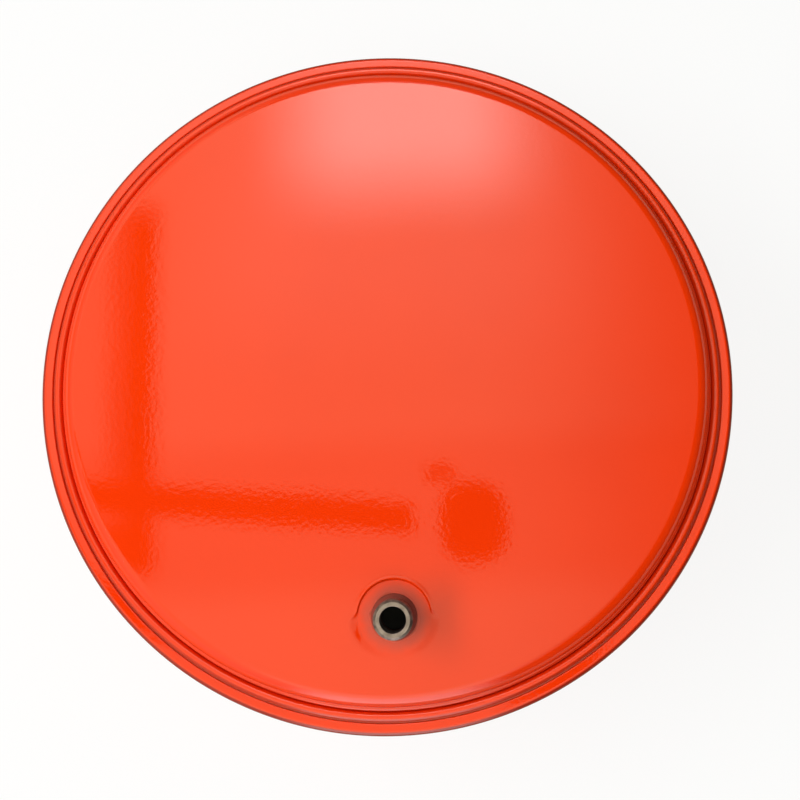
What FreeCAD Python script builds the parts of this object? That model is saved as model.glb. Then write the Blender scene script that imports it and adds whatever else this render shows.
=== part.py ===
import FreeCAD, Part
import Sketcher
import math
import os

# Flat round expansion vessel of a boiler, lying on its gas side.
# The origin is the middle of the flat ring it lies on, +Z points out of the water side,
# and the water connection stands off the axis towards -Y.

SIZES = {
    # rim: the ring that is folded round both flanges
    "rim_radius": 162.5,
    "ring_sheet": 1.5,
    "lip_width": 5.6,
    "lip_chamfer": 0.5,
    "flange_play": 0.4,
    # sheet metal
    "front_sheet": 1.0,
    "rear_sheet": 1.0,
    "seam_height": 88.0,
    # front shell, heights above the seam
    "groove_width": 0.8,
    "ridge_width": 4.2,
    "ridge_height": 4.2,
    "valley_width": 0.7,
    "valley_height": 0.8,
    "step_width": 1.7,
    "step_height": 5.2,
    "face_height": 11.6,
    "crown": 3.6,
    "shoulder_round": 6.0,
    "step_round": 1.2,
    "valley_round": 1.3,
    # water connection
    "nipple_offset": 110.6,
    "seat_radius": 15.8,
    "seat_sink": 0.1,
    "nipple_length": 22.0,
    "thread_radius": 8.33,
    "bore_radius": 5.7,
    "end_radius": 7.5,
    "end_chamfer": 1.0,
    "collar_radius": 10.0,
    "collar_height": 1.5,
    "relief_width": 2.9,
    "relief_radius": 7.5,
    "nipple_flange_width": 3.0,
    "nipple_flange": 2.0,
    "collar_play": 0.1,
    # membrane
    "web": 1.5,
    "dome_play": 1.0,
    "membrane_play": 0.3,
    "dome_round": 4.0,
    # rear shell
    "rear_inset": 1.2,
    "rear_round": 24.0,
    "neck_round": 1.5,
    "recess_radius": 38.0,
    "recess_draft": 3.0,
    "recess_round": 5.0,
    # gas valve
    "valve_reach": 19.0,
    "valve_radius": 4.0,
    "cap_thread_radius": 3.85,
    "cap_thread_length": 12.0,
    "valve_hole_play": 0.1,
    "valve_flange_radius": 7.5,
    "valve_flange": 2.5,
    "seal_radius": 7.0,
    "seal_thickness": 1.0,
    "nut_width": 13.0,
    "nut_height": 4.0,
    "nut_play": 0.05,
    # valve core, from the tip of the stem inwards
    "mouth_radius": 2.65,
    "mouth_depth": 8.6,
    "throat_radius": 1.9,
    "cone_length": 1.2,
    "core_play": 0.05,
    "barrel_sink": 0.9,
    "barrel_length": 4.6,
    "chamber_floor": 0.6,
    "neck_wall": 0.55,
    "neck_reach": 1.1,
    "pin_radius": 0.65,
    "pin_play": 0.3,
    "pin_sink": 0.35,
    "collar_sink": 1.0,
    "pin_collar": 0.5,
    "washer_play": 0.3,
    "washer_thickness": 0.7,
    "cup_play": 0.2,
    "cup_length": 1.3,
    "pin_head_width": 0.35,
    "pin_head": 0.7,
    "spring_play": 0.4,
    "spring_wire": 0.3,
    "spring_turns": 4.0,
    "chamber_play": 0.35,
    # cap
    "cap_wall": 1.25,
    "cap_play": 0.1,
    "cap_cover": 8.0,
    "cap_floor": 1.6,
    "cap_washer": 1.2,
    "cap_washer_gap": 0.1,
    "cap_washer_hole": 1.0,
    "cap_clearance": 4.1,
    "flute_count": 16.0,
    "flute_radius": 0.45,
}

doc = FreeCAD.newDocument("expansion_vessel")
sheet = doc.addObject("Spreadsheet::Sheet", "Sizes")


class Size:
    """A number together with the spreadsheet expression that gives it."""

    def __init__(self, number, text):
        self.number = number
        self.text = text

    def __add__(self, other):
        other = as_size(other)
        return Size(self.number + other.number, f"({self.text} + {other.text})")

    def __sub__(self, other):
        other = as_size(other)
        return Size(self.number - other.number, f"({self.text} - {other.text})")

    def __mul__(self, other):
        other = as_size(other)
        return Size(self.number * other.number, f"({self.text} * {other.text})")

    def __truediv__(self, other):
        other = as_size(other)
        return Size(self.number / other.number, f"({self.text} / {other.text})")

    def __neg__(self):
        return Size(-self.number, f"(-1 * {self.text})")


def as_size(value):
    """Let a bare factor or zero stand beside the named sizes."""
    if isinstance(value, Size):
        return value
    return Size(float(value), repr(float(value)))


def fill_sheet():
    """Write each size as a plain number into its own cell, with its name beside it."""
    for row, (alias, number) in enumerate(SIZES.items(), start=1):
        sheet.set(f"A{row}", alias)
        sheet.set(f"B{row}", repr(number))
        sheet.setAlias(f"B{row}", alias)
    doc.recompute()


def size(alias):
    return Size(SIZES[alias], f"Sizes.{alias}")


def smaller(first, second):
    """A radius that stays within the wall it rounds."""
    return Size(min(first.number, second.number), f"min({first.text}; {second.text})")


def plane(body, role):
    """The origin plane of a body that has the given role."""
    return next(item for item in body.Origin.OriginFeatures if item.Role == role)


def new_body(name):
    body = doc.addObject("PartDesign::Body", name)
    body.Label = name
    return body


def new_sketch(body, name, role, lift=None):
    """A sketch on an origin plane of the body, lifted along the plane's normal."""
    sketch = body.newObject("Sketcher::SketchObject", name)
    sketch.AttachmentSupport = [(plane(body, role), "")]
    sketch.MapMode = "FlatFace"
    if lift is not None:
        sketch.setExpression("AttachmentOffset.Base.z", lift.text)
    return sketch


def pin_point(sketch, geometry, end, across, up):
    """Hold one point of the sketch at its two distances from the sketch's origin."""
    for kind, axis, value in (("DistanceX", -2, as_size(across)), ("DistanceY", -1, as_size(up))):
        if value.number == 0.0:
            sketch.addConstraint(Sketcher.Constraint("PointOnObject", geometry, end, axis))
            continue
        index = sketch.addConstraint(Sketcher.Constraint(kind, -1, 1, geometry, end, value.number))
        sketch.setExpression(f"Constraints[{index}]", value.text)


def crown_arc(start, finish):
    """Arc round a centre on the vertical axis, from a point at the edge to the top on the axis."""
    edge_x, edge_y = start
    top_y = finish[1]
    rise = top_y - edge_y
    radius = (edge_x * edge_x + rise * rise) / (2.0 * rise)
    centre = FreeCAD.Vector(0, top_y - radius, 0)
    circle = Part.Circle(centre, FreeCAD.Vector(0, 0, 1), radius)
    angle = math.atan2(edge_y - centre.y, edge_x)
    return Part.ArcOfCircle(circle, angle, math.pi / 2)


def fold_arc(start, finish):
    """Half circle that bulges outwards from the lower point to the one above it."""
    reach = (finish[1] - start[1]) / 2
    centre = FreeCAD.Vector(start[0], start[1] + reach, 0)
    circle = Part.Circle(centre, FreeCAD.Vector(0, 0, 1), reach)
    return Part.ArcOfCircle(circle, -math.pi / 2, math.pi / 2)


def draw_outline(sketch, corners, crowns=(), folds=()):
    """Closed outline through the corners. Each corner is (across, up) from the sketch's origin.

    An edge named in crowns by the number of its first corner is an arc whose centre is on the axis.
    One named in folds is a half circle up to a corner straight above.
    """
    places = [(as_size(across), as_size(up)) for across, up in corners]
    count = len(places)
    ends = []
    for index, place in enumerate(places):
        following = places[(index + 1) % count]
        first = (place[0].number, place[1].number)
        second = (following[0].number, following[1].number)
        if index in crowns:
            outward = first[0] > second[0]
            arc = crown_arc(first, second) if outward else crown_arc(second, first)
            number = sketch.addGeometry(arc, False)
            sketch.addConstraint(Sketcher.Constraint("PointOnObject", number, 3, -2))
            ends.append((number, 1, 2) if outward else (number, 2, 1))
        elif index in folds:
            number = sketch.addGeometry(fold_arc(first, second), False)
            sketch.addConstraint(Sketcher.Constraint("Symmetric", number, 1, number, 2, number, 3))
            ends.append((number, 1, 2))
        else:
            line = Part.LineSegment(FreeCAD.Vector(*first, 0), FreeCAD.Vector(*second, 0))
            number = sketch.addGeometry(line, False)
            ends.append((number, 1, 2))
    for index, (number, start, finish) in enumerate(ends):
        following = ends[(index + 1) % count]
        sketch.addConstraint(Sketcher.Constraint("Coincident", number, finish, following[0], following[1]))
        pin_point(sketch, number, start, *places[index])


def draw_circle(sketch, radius, across=0, up=0):
    across = as_size(across)
    up = as_size(up)
    centre = FreeCAD.Vector(across.number, up.number, 0)
    number = sketch.addGeometry(Part.Circle(centre, FreeCAD.Vector(0, 0, 1), radius.number), False)
    index = sketch.addConstraint(Sketcher.Constraint("Radius", number, radius.number))
    sketch.setExpression(f"Constraints[{index}]", radius.text)
    pin_point(sketch, number, 3, across, up)


def turned(name, corners, crowns=(), folds=()):
    """A body turned about +Z from an outline of (radius, height) corners."""
    body = new_body(name)
    section = new_sketch(body, name + "_section", "XZ_Plane")
    draw_outline(section, corners, crowns, folds)
    turning = body.newObject("PartDesign::Revolution", name + "_turning")
    turning.Profile = section
    turning.ReferenceAxis = (section, ["V_Axis"])
    turning.Angle = 360
    body.Tip = turning
    doc.recompute()
    return body


def ring_edges(shape, places):
    """Names of the circular edges about the Z axis at the given (radius, height) places."""
    names = []
    for radius, height in places:
        found = [
            f"Edge{number}" for number, edge in enumerate(shape.Edges, start=1)
            if not edge.Degenerated and isinstance(edge.Curve, Part.Circle)
            and abs(edge.Curve.Radius - as_size(radius).number) < 1e-4
            and abs(edge.Curve.Center.z - as_size(height).number) < 1e-4
        ]
        if not found:
            raise ValueError(f"no ring edge at {as_size(radius).number}, {as_size(height).number}")
        names += found
    return names


def round_rings(body, name, radius, places):
    """Fillet the ring edges at the given places with one radius."""
    base = body.Tip
    edges = ring_edges(base.Shape, places)
    fillet = body.newObject("PartDesign::Fillet", name)
    fillet.Base = (base, edges)
    fillet.setExpression("Radius", radius.text)
    body.Tip = fillet
    doc.recompute()
    if "Invalid" in fillet.State or fillet.Shape.isNull():
        raise ValueError(f"{name} can't be rounded by {radius.number}")


def pocket(body, name, sketch, depth=None, reverse=False):
    """Cut a sketch downwards, or upwards if reversed, to a depth or right through."""
    before = body.Tip.Shape.Volume
    cut = body.newObject("PartDesign::Pocket", name)
    cut.Profile = sketch
    cut.Reversed = reverse
    if depth is None:
        cut.Type = "ThroughAll"
    else:
        cut.setExpression("Length", depth.text)
    body.Tip = cut
    doc.recompute()
    if cut.Shape.Volume >= before:
        raise ValueError(f"{name} cuts nothing")
    return cut


fill_sheet()

seam = size("seam_height")
front_sheet = size("front_sheet")
rear_sheet = size("rear_sheet")
rim_radius = size("rim_radius")
flange_radius = rim_radius - size("ring_sheet") - size("flange_play")

# radii of the front shell's pressing, from the ring's lip inwards
lip_edge = rim_radius - size("lip_width")
ridge_outer = lip_edge - size("groove_width")
ridge_inner = ridge_outer - size("ridge_width")
step_radius = ridge_inner - size("valley_width")
wall_radius = step_radius - size("step_width")
bead_outer = ridge_outer - front_sheet
bead_inner = ridge_inner + front_sheet
rear_radius = wall_radius - size("rear_inset")
riser = bead_outer + rear_sheet

# levels from the seam up to the crown, and down to the ledge that the membrane is clamped on
ridge_top = seam + size("ridge_height")
valley = seam + size("valley_height")
valley_under = valley - front_sheet
step_top = seam + size("step_height")
face_edge = seam + size("face_height")
face_top = face_edge + size("crown")
ledge = valley_under - size("web")

ridge_round = size("ridge_width") * 0.48
shoulder_round = smaller(size("shoulder_round"), size("face_height") - size("step_height"))

# the flat seat meets the crowned face at its outermost point
seat_reach = (size("nipple_offset") + size("seat_radius")) / wall_radius
seat_level = face_top - size("crown") * seat_reach * seat_reach - size("seat_sink")
flange_under = seat_level - front_sheet - size("nipple_flange")

cap_height = size("cap_floor") + size("cap_washer") + size("cap_washer_gap")
valve_tip = size("cap_clearance") + cap_height
recess_depth = valve_tip + size("valve_reach")

# the valve core: the barrel's chamber holds the spring round the pin
spring_radius = size("pin_radius") + size("spring_play") + size("spring_wire") / 2
collar_radius = spring_radius + size("spring_wire") / 2
chamber_radius = collar_radius + size("chamber_play")
pin_bore = size("pin_radius") + size("pin_play")
neck_radius = pin_bore + size("neck_wall")
barrel_start = valve_tip + size("barrel_sink")
barrel_shoulder = barrel_start + size("barrel_length")
chamber_end = barrel_shoulder - size("chamber_floor")
cone_start = valve_tip + size("mouth_depth")
cone_end = cone_start + size("cone_length")
barrel_end = cone_end + size("neck_reach")


def make_front_shell():
    """Pressed half shell of the water side, as the outer form less the hollow behind the sheet."""
    shell = turned("front_shell", [
        (0, valley_under),
        (bead_outer, valley_under),
        (bead_outer, seam),
        (flange_radius, seam),
        (flange_radius, seam + front_sheet),
        (ridge_outer, seam + front_sheet),
        (ridge_outer, ridge_top),
        (ridge_inner, ridge_top),
        (ridge_inner, valley),
        (step_radius, valley),
        (step_radius, step_top),
        (wall_radius, step_top),
        (wall_radius, face_edge),
        (0, face_top),
    ], crowns=[12])
    round_rings(shell, "front_ridge_round", ridge_round, [
        (ridge_outer, ridge_top),
        (ridge_inner, ridge_top),
    ])
    round_rings(shell, "front_step_round", size("step_round"), [(step_radius, step_top)])
    round_rings(shell, "front_shoulder_round", shoulder_round, [(wall_radius, face_edge)])

    inner_step = step_radius - front_sheet
    inner_wall = wall_radius - front_sheet
    hollow = turned("front_hollow", [
        (0, ledge),
        (bead_outer, ledge),
        (bead_outer, ridge_top - front_sheet),
        (bead_inner, ridge_top - front_sheet),
        (bead_inner, valley_under),
        (inner_step, valley_under),
        (inner_step, step_top - front_sheet),
        (inner_wall, step_top - front_sheet),
        (inner_wall, face_edge - front_sheet),
        (0, face_top - front_sheet),
    ], crowns=[8])
    round_rings(hollow, "hollow_ridge_round", ridge_round - front_sheet, [
        (bead_outer, ridge_top - front_sheet),
        (bead_inner, ridge_top - front_sheet),
    ])
    round_rings(hollow, "hollow_valley_round", size("valley_round"), [
        (bead_inner, valley_under),
        (inner_step, valley_under),
    ])
    round_rings(hollow, "hollow_shoulder_round", shoulder_round - front_sheet, [
        (inner_wall, face_edge - front_sheet),
    ])

    seat = new_sketch(shell, "seat_outline", "XY_Plane", seat_level)
    draw_circle(seat, size("seat_radius"), 0, -size("nipple_offset"))
    pocket(shell, "seat_pressing", seat, reverse=True)
    seat_back = new_sketch(hollow, "seat_back_outline", "XY_Plane", seat_level - front_sheet)
    draw_circle(seat_back, size("seat_radius") + front_sheet, 0, -size("nipple_offset"))
    pocket(hollow, "seat_back_pressing", seat_back, reverse=True)

    shelled = shell.newObject("PartDesign::Boolean", "front_shelling")
    shelled.setObjects([hollow])
    shelled.Type = "Cut"
    shell.Tip = shelled
    doc.recompute()

    opening = new_sketch(shell, "nipple_hole_outline", "XY_Plane", face_top)
    draw_circle(opening, size("collar_radius") + size("collar_play"), 0, -size("nipple_offset"))
    pocket(shell, "nipple_hole", opening)
    return shell


def make_rear_shell():
    """Deep drawn half shell of the gas side, turned in one with its ledge and valve recess."""
    inner_wall = rear_radius - rear_sheet
    mouth = size("recess_radius")
    recess_top = mouth - size("recess_draft")
    hole = size("valve_radius") + size("valve_hole_play")
    shell = turned("rear_shell", [
        (flange_radius, seam),
        (bead_outer, seam),
        (bead_outer, ledge),
        (inner_wall, ledge),
        (inner_wall, rear_sheet),
        (mouth + rear_sheet, rear_sheet),
        (recess_top + rear_sheet, recess_depth + rear_sheet),
        (hole, recess_depth + rear_sheet),
        (hole, recess_depth),
        (recess_top, recess_depth),
        (mouth, 0),
        (rear_radius, 0),
        (rear_radius, ledge - rear_sheet),
        (riser, ledge - rear_sheet),
        (riser, seam - rear_sheet),
        (flange_radius, seam - rear_sheet),
    ])
    drawn = size("rear_round")
    neck = size("neck_round")
    recess = size("recess_round")
    round_rings(shell, "rear_outer_round", drawn, [(rear_radius, 0)])
    round_rings(shell, "rear_inner_round", drawn - rear_sheet, [(inner_wall, rear_sheet)])
    round_rings(shell, "neck_outer_round", neck, [(rear_radius, ledge - rear_sheet)])
    round_rings(shell, "neck_inner_round", neck + rear_sheet, [(inner_wall, ledge)])
    round_rings(shell, "recess_outer_round", recess + rear_sheet, [(mouth, 0)])
    round_rings(shell, "recess_inner_round", recess, [(mouth + rear_sheet, rear_sheet)])
    round_rings(shell, "recess_top_round", recess, [(recess_top, recess_depth)])
    round_rings(shell, "recess_back_round", recess + rear_sheet, [
        (recess_top + rear_sheet, recess_depth + rear_sheet),
    ])
    return shell


def make_clench_ring():
    """Steel ring folded round both flanges."""
    inside = rim_radius - size("ring_sheet")
    lower_edge = riser + size("groove_width")
    upper = seam + front_sheet
    lower = seam - rear_sheet
    top = upper + size("ring_sheet")
    bottom = lower - size("ring_sheet")
    chamfer = size("lip_chamfer")
    fold = rim_radius - (top - bottom) / 2
    return turned("clench_ring", [
        (lip_edge, upper),
        (inside, upper),
        (inside, lower),
        (lower_edge, lower),
        (lower_edge, bottom + chamfer),
        (lower_edge + chamfer, bottom),
        (fold, bottom),
        (fold, top),
        (lip_edge + chamfer, top),
        (lip_edge, top - chamfer),
    ], folds=[6])


def make_diaphragm():
    """Moulded rubber membrane, with its bead in the ridge and its web clamped on the ledge."""
    web = size("web")
    dome_radius = wall_radius - front_sheet - size("dome_play")
    dome_top = flange_under - size("membrane_play")
    dome_edge = dome_top - size("crown")
    bead_top = ridge_top - front_sheet
    dome_round = smaller(size("dome_round"), dome_edge - valley_under)
    membrane = turned("diaphragm", [
        (0, dome_top - web),
        (dome_radius - web, dome_edge - web),
        (dome_radius - web, ledge),
        (bead_outer, ledge),
        (bead_outer, bead_top),
        (bead_inner, bead_top),
        (bead_inner, valley_under),
        (dome_radius, valley_under),
        (dome_radius, dome_edge),
        (0, dome_top),
    ], crowns=[0, 8])
    round_rings(membrane, "bead_round", ridge_round - front_sheet, [
        (bead_outer, bead_top),
        (bead_inner, bead_top),
    ])
    round_rings(membrane, "dome_outer_round", dome_round, [(dome_radius, dome_edge)])
    round_rings(membrane, "dome_inner_round", dome_round - web, [(dome_radius - web, dome_edge - web)])
    return membrane


def make_water_nipple():
    """Turned steel connection, put through the seat from behind and welded by its flange."""
    flange_radius_inside = size("collar_radius") + size("nipple_flange_width")
    flange_bottom = -(front_sheet + size("nipple_flange"))
    thread_start = size("collar_height") + size("relief_width")
    chamfer = size("end_chamfer")
    nipple = turned("water_nipple", [
        (size("bore_radius"), flange_bottom),
        (flange_radius_inside, flange_bottom),
        (flange_radius_inside, -front_sheet),
        (size("collar_radius"), -front_sheet),
        (size("collar_radius"), size("collar_height")),
        (size("relief_radius"), size("collar_height")),
        (size("relief_radius"), thread_start),
        (size("thread_radius"), thread_start + chamfer / 2),
        (size("thread_radius"), size("nipple_length") - chamfer),
        (size("end_radius"), size("nipple_length")),
        (size("bore_radius"), size("nipple_length")),
    ])
    nipple.setExpression("Placement.Base.y", (-size("nipple_offset")).text)
    nipple.setExpression("Placement.Base.z", seat_level.text)
    return nipple


def make_valve_stem():
    """Brass stem, put through the recess from the gas side."""
    seat = recess_depth + rear_sheet + size("seal_thickness")
    flange_top = seat + size("valve_flange")
    thread_end = valve_tip + size("cap_thread_length")
    return turned("valve_stem", [
        (size("mouth_radius"), valve_tip),
        (size("cap_thread_radius"), valve_tip),
        (size("cap_thread_radius"), thread_end),
        (size("valve_radius"), thread_end),
        (size("valve_radius"), seat),
        (size("valve_flange_radius"), seat),
        (size("valve_flange_radius"), flange_top),
        (size("throat_radius"), flange_top),
        (size("throat_radius"), cone_end),
        (size("mouth_radius"), cone_start),
    ])


def tube(name, inner, outer, low, thickness):
    """Plain ring or tube that stands on the given level."""
    return turned(name, [
        (inner, low),
        (outer, low),
        (outer, low + thickness),
        (inner, low + thickness),
    ])


def make_valve_seal():
    low = recess_depth + rear_sheet
    return tube("valve_seal", size("valve_radius"), size("seal_radius"), low, size("seal_thickness"))


def make_valve_nut():
    """Hexagon nut, tight under the recess."""
    body = new_body("valve_nut")
    outline = new_sketch(body, "nut_outline", "XY_Plane", recess_depth - size("nut_height"))
    half_flat = size("nut_width") / 2
    corner = half_flat / math.cos(math.pi / 6)
    half_side = corner / 2
    draw_outline(outline, [
        (half_flat, -half_side),
        (half_flat, half_side),
        (0, corner),
        (-half_flat, half_side),
        (-half_flat, -half_side),
        (0, -corner),
    ])
    block = body.newObject("PartDesign::Pad", "nut_block")
    block.Profile = outline
    block.setExpression("Length", size("nut_height").text)
    body.Tip = block
    doc.recompute()
    opening = new_sketch(body, "nut_hole_outline", "XY_Plane", recess_depth)
    draw_circle(opening, size("valve_radius") + size("nut_play"))
    pocket(body, "nut_hole", opening)
    return body


def make_core_barrel():
    """Threaded plug of the valve core, with its spring chamber and its long neck."""
    outside = size("mouth_radius") - size("core_play")
    return turned("core_barrel", [
        (chamber_radius, barrel_start),
        (outside, barrel_start),
        (outside, barrel_shoulder),
        (neck_radius, barrel_shoulder),
        (neck_radius, barrel_end),
        (pin_bore, barrel_end),
        (pin_bore, chamber_end),
        (chamber_radius, chamber_end),
    ])


def make_core_seal_ring():
    """Ring on the barrel's neck that closes the cone of the stem."""
    play = size("core_play")
    return turned("core_seal_ring", [
        (neck_radius, barrel_shoulder),
        (size("mouth_radius") - play, barrel_shoulder),
        (size("mouth_radius") - play, cone_start),
        (size("throat_radius") - play, cone_end),
        (neck_radius, cone_end),
    ])


def make_core_pin():
    """Pin with the collar that the spring pushes on, and the head that holds the cup."""
    radius = size("pin_radius")
    collar = valve_tip + size("collar_sink")
    collar_end = collar + size("pin_collar")
    head = barrel_end + size("washer_thickness") + size("cup_length")
    head_radius = radius + size("pin_head_width")
    return turned("core_pin", [
        (0, valve_tip + size("pin_sink")),
        (radius, valve_tip + size("pin_sink")),
        (radius, collar),
        (collar_radius, collar),
        (collar_radius, collar_end),
        (radius, collar_end),
        (radius, head),
        (head_radius, head),
        (head_radius, head + size("pin_head")),
        (0, head + size("pin_head")),
    ])


def make_core_washer():
    outer = size("throat_radius") - size("washer_play")
    return tube("core_washer", size("pin_radius"), outer, barrel_end, size("washer_thickness"))


def make_core_cup():
    outer = size("throat_radius") - size("cup_play")
    low = barrel_end + size("washer_thickness")
    return tube("core_cup", size("pin_radius"), outer, low, size("cup_length"))


def make_core_spring():
    """Coil of round wire between the pin's collar and the floor of the barrel's chamber."""
    wire = size("spring_wire")
    low = valve_tip + size("collar_sink") + size("pin_collar") + wire / 2
    high = chamber_end - wire / 2
    coil = doc.addObject("Part::Helix", "spring_path")
    coil.setExpression("Height", (high - low).text)
    coil.setExpression("Pitch", ((high - low) / size("spring_turns")).text)
    coil.setExpression("Radius", spring_radius.text)
    coil.setExpression("Placement.Base.z", low.text)
    coil.SegmentLength = 1
    doc.recompute()
    section = doc.addObject("Part::Circle", "spring_section")
    section.setExpression("Radius", (wire / 2).text)
    section.Placement.Rotation = FreeCAD.Rotation(FreeCAD.Vector(1, 0, 0), 90)
    section.setExpression("Placement.Base.x", spring_radius.text)
    section.setExpression("Placement.Base.z", low.text)
    spring = doc.addObject("Part::Sweep", "core_spring")
    spring.Label = "core_spring"
    spring.Sections = [section]
    spring.Spine = (coil, [f"Edge{turn + 1}" for turn in range(len(coil.Shape.Edges))])
    spring.Solid = True
    spring.Frenet = True
    doc.recompute()
    return spring


def make_valve_cap():
    """Screw cap over the tip of the stem, with a ring of grip flutes."""
    floor = valve_tip - size("cap_washer_gap") - size("cap_washer")
    low = floor - size("cap_floor")
    high = valve_tip + size("cap_cover")
    bore = size("cap_thread_radius") + size("cap_play")
    outside = bore + size("cap_wall")
    cap = turned("valve_cap", [
        (0, low),
        (outside, low),
        (outside, high),
        (bore, high),
        (bore, floor),
        (0, floor),
    ])
    round_rings(cap, "cap_end_round", size("cap_floor") / 2, [(outside, low)])
    outline = new_sketch(cap, "flute_outline", "XY_Plane", high)
    draw_circle(outline, size("flute_radius"), outside, 0)
    flute = pocket(cap, "flute", outline, size("cap_cover"))
    flutes = cap.newObject("PartDesign::PolarPattern", "flutes")
    flutes.Originals = [flute]
    flutes.Axis = (outline, ["N_Axis"])
    flutes.Angle = 360
    flutes.setExpression("Occurrences", size("flute_count").text)
    cap.Tip = flutes
    doc.recompute()
    return cap


def make_cap_washer():
    low = valve_tip - size("cap_washer_gap") - size("cap_washer")
    return tube("cap_washer", size("cap_washer_hole"), size("cap_thread_radius"), low, size("cap_washer"))


def check_document():
    """Stop if any object failed to compute."""
    for item in doc.Objects:
        if "Invalid" in item.State or "Error" in item.State:
            raise ValueError(f"{item.Name} failed: {item.State}")


def export(pieces):
    """Check every piece and write it to its own file."""
    for piece in pieces:
        if piece.Shape.isNull() or not piece.Shape.isValid():
            raise ValueError(f"{piece.Label} is not a valid shape")
    os.makedirs("parts", exist_ok=True)
    for piece in pieces:
        piece.Shape.exportStep(f"parts/{piece.Label}.step")
        box = piece.Shape.BoundBox
        print(f"{piece.Label}: {len(piece.Shape.Solids)} solid, {piece.Shape.Volume:.1f} mm3, "
              f"z {box.ZMin:.2f} to {box.ZMax:.2f}, reach {max(box.XMax, -box.YMin):.2f}")


PIECES = [
    make_front_shell(),
    make_rear_shell(),
    make_clench_ring(),
    make_diaphragm(),
    make_water_nipple(),
    make_valve_stem(),
    make_valve_seal(),
    make_valve_nut(),
    make_core_barrel(),
    make_core_seal_ring(),
    make_core_pin(),
    make_core_washer(),
    make_core_cup(),
    make_core_spring(),
    make_valve_cap(),
    make_cap_washer(),
]
doc.recompute()
check_document()
export(PIECES)
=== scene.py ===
import math

import bpy
import numpy as np
from mathutils import Matrix, Vector


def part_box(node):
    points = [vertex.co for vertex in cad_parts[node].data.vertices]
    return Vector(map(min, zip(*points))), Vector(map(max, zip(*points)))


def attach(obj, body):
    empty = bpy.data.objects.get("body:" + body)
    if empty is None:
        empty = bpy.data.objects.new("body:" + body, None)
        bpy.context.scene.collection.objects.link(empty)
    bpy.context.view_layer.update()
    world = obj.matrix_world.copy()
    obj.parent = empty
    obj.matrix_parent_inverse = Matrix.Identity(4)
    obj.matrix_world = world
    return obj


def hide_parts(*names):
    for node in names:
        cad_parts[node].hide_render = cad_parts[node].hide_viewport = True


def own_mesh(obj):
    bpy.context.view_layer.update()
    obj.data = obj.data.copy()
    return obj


# Flat round expansion vessel, lying on its gas side and seen from above its water side.
# Sections are given in millimetres, as (radius, height, round) corners, and meshes are in metres.

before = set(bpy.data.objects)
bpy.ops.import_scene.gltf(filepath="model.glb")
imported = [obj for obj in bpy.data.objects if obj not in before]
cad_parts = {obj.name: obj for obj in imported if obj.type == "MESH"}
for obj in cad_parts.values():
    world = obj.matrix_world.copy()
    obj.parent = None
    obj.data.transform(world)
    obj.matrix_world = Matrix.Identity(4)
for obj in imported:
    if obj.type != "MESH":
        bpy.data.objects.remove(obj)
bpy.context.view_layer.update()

MM = 0.001
COLUMNS = 248
SMALL_COLUMNS = 144
FULL_TURN = 2 * math.pi
ARC_STEP = math.radians(8)


def span(node, axis):
    """Lowest and highest coordinate of a CAD node along one axis, in millimetres."""
    low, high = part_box(node)
    return low[axis] / MM, high[axis] / MM


# rim: LIP_LEAN is how far the ring's lip falls to its edge
RIM_RADIUS = span("clench_ring", 0)[1]
RING_BOTTOM, RING_TOP = span("clench_ring", 2)
RING_SHEET = 1.5
LIP_EDGE = RIM_RADIUS - 5.6
LIP_LEAN = 0.45
LIP_ROUND = 0.6
SEAM = (RING_BOTTOM + RING_TOP) / 2
# front shell
SHEET = 1.0
FLANGE_RADIUS = span("front_shell", 0)[1]
RIDGE_OUTER = LIP_EDGE - 0.8
RIDGE_INNER = RIDGE_OUTER - 4.2
STEP_RADIUS = RIDGE_INNER - 0.7
WALL_RADIUS = STEP_RADIUS - 1.7
RIDGE_TOP = SEAM + 4.2
VALLEY = SEAM + 0.8
STEP_TOP = SEAM + 5.2
FACE_EDGE = SEAM + 11.6
CROWN = 3.6
SHOULDER_ROUND = 7.0
SHOULDER_STEPS = 17
# the crowned face is part of a sphere
CROWN_RADIUS = (WALL_RADIUS ** 2 + CROWN ** 2) / (2 * CROWN)
CROWN_CENTRE = FACE_EDGE + CROWN - CROWN_RADIUS
# rear shell
LEDGE = VALLEY - SHEET - 1.5
RISER = RIDGE_OUTER
REAR_RADIUS = WALL_RADIUS - 1.2
REAR_ROUND = 24.0
RECESS_RADIUS = 38.0
RECESS_DRAFT = 3.0
RECESS_ROUND = 5.0
RECESS_DEPTH = span("valve_nut", 2)[1]
# water connection
NIPPLE_Y = sum(span("water_nipple", 1)) / 2
NIPPLE_BOTTOM, NIPPLE_TOP = span("water_nipple", 2)
NIPPLE_FLANGE_RADIUS = span("water_nipple", 0)[1]
NIPPLE_LENGTH = 22.0
SEAT_LEVEL = NIPPLE_TOP - NIPPLE_LENGTH
SEAT_RADIUS = 15.8
COLLAR_RADIUS = 10.0
COLLAR_HEIGHT = 1.5
HOLE_RADIUS = COLLAR_RADIUS + 0.1
THREAD_RADIUS = 8.33
THREAD_PITCH = 1.337
THREAD_DEPTH = 0.8
BORE_RADIUS = 5.5
TIP_RADIUS = 7.2
PAINT_EDGE = SEAT_LEVEL + 2.6
# edge of the seat: its width on the side of the axis and on the side of the rim, the bead along it,
# and where the first passes into the second, as the sine of the direction from the connection
SEAT_EDGE = 0.8
SEAT_RUNOUT = 5.0
SEAT_BEAD = 0.18
BEAD_OFFSET = 0.45
BEAD_WIDTH = 0.6
SIDE_LIMIT = 0.2
RUNOUT_BLEND = 0.3
BEAD_BLEND = 0.5
# rings of the face: over the seat, over its edge, beside it, and on to the shoulder
SEAT_RINGS, EDGE_RINGS, BESIDE_RINGS, CROWN_RINGS = 10, 36, 6, 30
SLOPE_STEP = 0.01
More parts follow.
